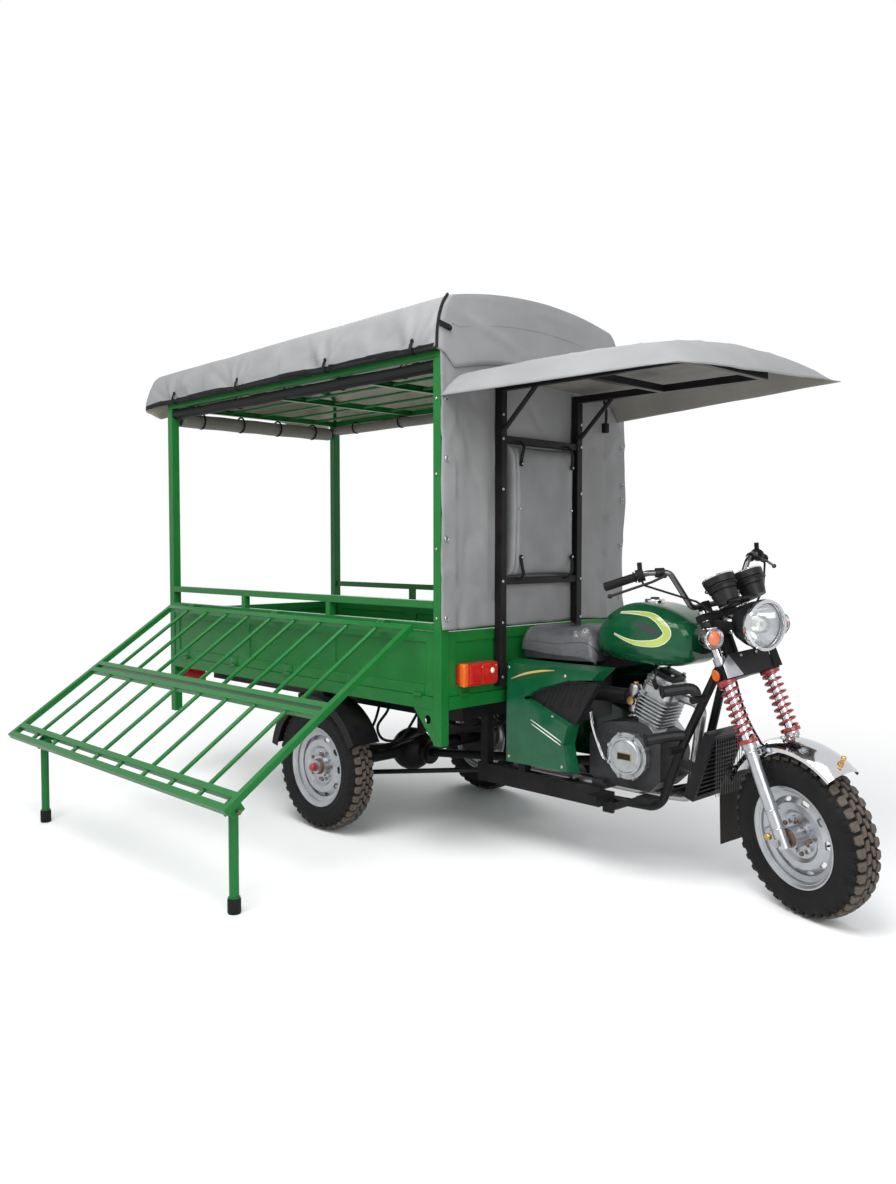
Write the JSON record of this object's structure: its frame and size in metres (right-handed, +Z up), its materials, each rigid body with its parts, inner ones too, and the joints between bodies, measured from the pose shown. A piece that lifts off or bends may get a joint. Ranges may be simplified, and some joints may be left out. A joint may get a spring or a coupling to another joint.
{
  "type": "cargo tricycle",
  "caption": "Three-wheeled cargo motorcycle with a canopied load bed, a fold-out barred side rack on legs, drop side and tailgate, awning, and a sprung front fork.",
  "frame": {"origin": "on the ground, at the middle of the whole footprint with the side rack out", "axes": "+X forward, +Y to the rider's left, +Z up"},
  "size_m": [3.9028, 2.1488, 2.3541],
  "materials": {
    "frame_black": "satin",
    "bed_green": "gloss",
    "body_green": "gloss",
    "tank_green": "gloss",
    "tarp_grey": "matte",
    "tyre": "matte",
    "rim_silver": "satin",
    "chrome": "polished",
    "engine_alloy": "satin",
    "spring_red": "gloss",
    "black_plastic": "matte",
    "rubber": "matte",
    "seat_vinyl": "satin",
    "lamp_amber": "gloss",
    "lens_clear": "gloss",
    "steel": "satin"
  },
  "bodies": {
    "chassis": {"rear_axle": "frame_black", "leaf_springs": "frame_black", "bed_chassis": "frame_black", "main_frame": "frame_black", "engine": "engine_alloy", "engine_cover": "chrome", "intake": "black_plastic", "exhaust": "steel", "radiator": "black_plastic", "foot_controls": "frame_black", "fuel_tank": "tank_green", "tank_cap": "chrome", "seat": "seat_vinyl", "side_covers": "body_green", "cover_inserts": "black_plastic", "drive_shaft": "steel", "bed_posts": "bed_green", "bed_right_panel": "bed_green", "bed_front_panel": "bed_green", "bed_floor": "bed_green", "side_rails": "bed_green", "roof_frame": "bed_green", "roof_bows": "bed_green", "roof_tarp": "tarp_grey", "front_tarp": "tarp_grey", "ladder_frame": "frame_black", "back_pad": "tarp_grey", "awning_tarp": "tarp_grey", "curtain_rolls": "tarp_grey", "marker_lamps": "lamp_amber", "tail_lamps": "lamp_amber", "mudguards": "black_plastic"},
    "fork": {"steering_clamps": "engine_alloy", "fork_tubes": "chrome", "fork_legs": "engine_alloy", "fork_springs": "spring_red", "front_axle": "steel", "front_fender": "chrome", "mud_flap": "rubber", "headlamp_shell": "black_plastic", "headlamp_lens": "lens_clear", "gauges": "black_plastic", "turn_signals": "lens_clear", "blank_plate": "black_plastic", "reflectors": "lamp_amber", "handlebar": "chrome", "grips": "rubber", "levers": "steel", "cables": "rubber"},
    "front_wheel": {"front_tyre": "tyre", "front_rim": "rim_silver"},
    "rear_right_wheel": {"rear_right_tyre": "tyre", "rear_right_rim": "rim_silver"},
    "rear_left_wheel": {"rear_left_tyre": "tyre", "rear_left_rim": "rim_silver"},
    "rack": {"rack_frame": "bed_green"},
    "rear_leg": {"rear_leg": "bed_green"},
    "front_leg": {"front_leg": "bed_green"},
    "left_panel": {"left_panel": "bed_green"},
    "tailgate": {"tailgate": "bed_green"}
  },
  "joints": [
    {"name": "steering", "type": "hinge", "parent": "chassis", "child": "fork", "pos_m": [1.34158, 0.43443, 0.9514], "axis": [-0.3827, 0, 0.9239], "range_deg": [-20, 60]},
    {"name": "front_wheel_spin", "type": "hinge", "parent": "fork", "child": "front_wheel", "pos_m": [1.66079, 0.41836, 0.29618], "axis": [0.316, 0.9397, 0.1309], "continuous": true},
    {"name": "rear_right_spin", "type": "hinge", "parent": "chassis", "child": "rear_right_wheel", "pos_m": [-0.41159, -0.10957, 0.294], "axis": [0, 1, 0], "continuous": true},
    {"name": "rear_left_spin", "type": "hinge", "parent": "chassis", "child": "rear_left_wheel", "pos_m": [-0.41159, 0.97843, 0.294], "axis": [0, 1, 0], "continuous": true},
    {"name": "rack", "type": "hinge", "parent": "chassis", "child": "rack", "pos_m": [-0.71159, -0.17057, 0.99], "axis": [-1, 0, 0], "range_deg": [0, 124]},
    {"name": "rear_leg", "type": "hinge", "parent": "rack", "child": "rear_leg", "pos_m": [-1.41942, -1.00825, 0.37235], "axis": [1, 0, 0], "range_deg": [0, 118]},
    {"name": "front_leg", "type": "hinge", "parent": "rack", "child": "front_leg", "pos_m": [0.22658, -1.00825, 0.37235], "axis": [1, 0, 0], "range_deg": [0, 118]},
    {"name": "left_panel", "type": "hinge", "parent": "chassis", "child": "left_panel", "pos_m": [-0.69159, 1.03543, 0.7], "axis": [-1, 0, 0], "range_deg": [0, 110]},
    {"name": "tailgate", "type": "hinge", "parent": "chassis", "child": "tailgate", "pos_m": [-1.79142, 0.43443, 0.7], "axis": [0, -1, 0], "range_deg": [0, 175]}
  ]
}
